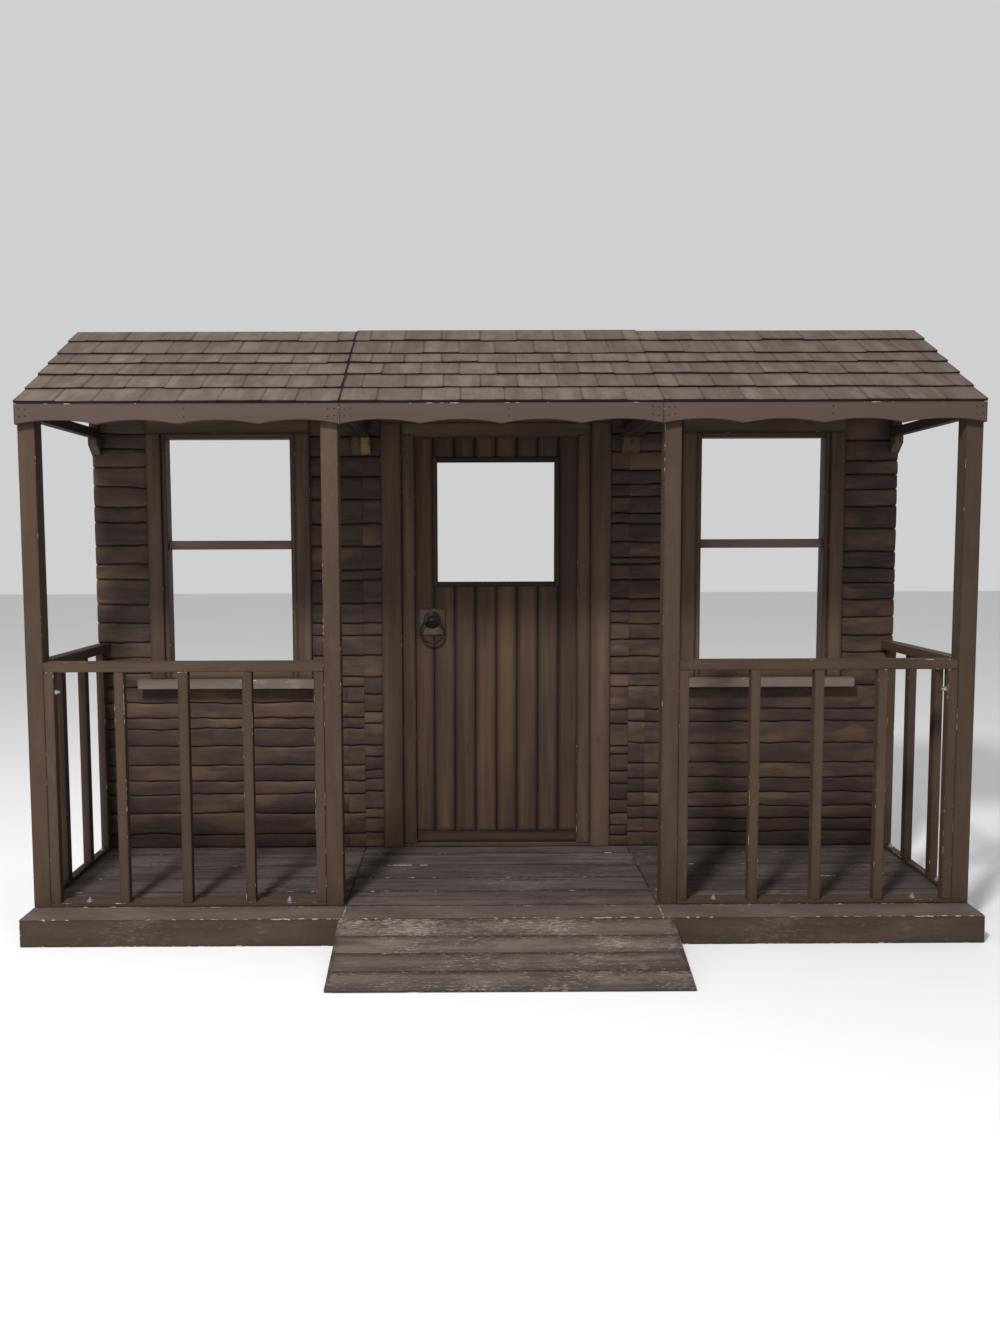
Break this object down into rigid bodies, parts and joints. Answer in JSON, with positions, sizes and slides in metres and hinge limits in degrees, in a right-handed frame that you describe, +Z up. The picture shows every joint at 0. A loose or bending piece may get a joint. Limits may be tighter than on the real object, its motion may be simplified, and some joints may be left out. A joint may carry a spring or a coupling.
{
  "type": "timber porch front",
  "caption": "Full-size timber log-cabin porch front with shingled canopy, railings, hinged ledged door, open windows and a loose ramp.",
  "frame": {"origin": "centre of the whole footprint, ramp included, at ground level", "axes": "+X to the right seen from the front, +Y from the front to the back, +Z up"},
  "size_m": [3.951, 1.5053, 2.6497],
  "materials": {
    "post_timber": "satin stain, chipped along the edges",
    "log_cladding": "matt scorched stain",
    "trim_timber": "satin stain",
    "door_timber": "satin stain, darker at the board edges",
    "fascia_timber": "satin paint",
    "shingle_timber": "satin stain, darker at the butts",
    "deck_timber": "matt worn stain",
    "ramp_timber": "matt, scuffed",
    "raw_timber": "bare sawn softwood",
    "ply_sheet": "bare sheet",
    "zinc_steel": "galvanised",
    "black_iron": "blackened"
  },
  "bodies": {
    "porch": {"base_frame_left": "deck_timber", "deck_boards_left": "deck_timber", "wall_frame_left": "raw_timber", "cladding_left": "log_cladding", "roof_frame_left": "trim_timber", "roof_sheathing_left": "ply_sheet", "shingles_left": "shingle_timber", "fascia_left": "fascia_timber", "base_frame_centre": "deck_timber", "deck_boards_centre": "deck_timber", "wall_frame_centre": "raw_timber", "cladding_centre": "log_cladding", "roof_frame_centre": "trim_timber", "roof_sheathing_centre": "ply_sheet", "shingles_centre": "shingle_timber", "fascia_centre": "fascia_timber", "base_frame_right": "deck_timber", "deck_boards_right": "deck_timber", "wall_frame_right": "raw_timber", "cladding_right": "log_cladding", "roof_frame_right": "trim_timber", "roof_sheathing_right": "ply_sheet", "shingles_right": "shingle_timber", "fascia_right": "fascia_timber", "window_lining_left": "trim_timber", "window_bar_left": "trim_timber", "window_trim_left": "trim_timber", "window_sill_left": "trim_timber", "front_rail_left": "post_timber", "front_balusters_left": "post_timber", "side_rail_left": "post_timber", "side_balusters_left": "post_timber", "post_outer_left": "post_timber", "post_inner_left": "post_timber", "window_lining_right": "trim_timber", "window_bar_right": "trim_timber", "window_trim_right": "trim_timber", "window_sill_right": "trim_timber", "front_rail_right": "post_timber", "front_balusters_right": "post_timber", "side_rail_right": "post_timber", "side_balusters_right": "post_timber", "post_outer_right": "post_timber", "post_inner_right": "post_timber", "door_frame": "trim_timber", "door_threshold": "trim_timber", "door_casing": "trim_timber", "door_hinge_plates": "black_iron", "wall_corbels": "trim_timber", "coach_bolts": "zinc_steel"},
    "door": {"door_boards": "door_timber", "door_bottom_rail": "door_timber", "door_ledges": "door_timber", "door_window_bead": "door_timber", "door_hinge_straps": "black_iron", "handle_pad": "door_timber", "handle_boss": "black_iron"},
    "ring": {"handle_ring": "black_iron"},
    "ramp": {"ramp_boards": "ramp_timber", "ramp_stringers": "ramp_timber"}
  },
  "joints": [
    {"name": "door_hinge", "type": "hinge", "parent": "porch", "child": "door", "pos_m": [0.4145, 0.7493, 1.2], "axis": [0, 0, 1], "range_deg": [-105, 0]},
    {"name": "ring_swing", "type": "hinge", "parent": "door", "child": "ring", "pos_m": [-0.319, 0.672, 1.264], "axis": [-1, 0, 0], "range_deg": [0, 150]},
    {"name": "ramp_lift", "type": "slide", "parent": "porch", "child": "ramp", "axis": [0, 0, 1], "range_m": [0, 0.3]}
  ]
}
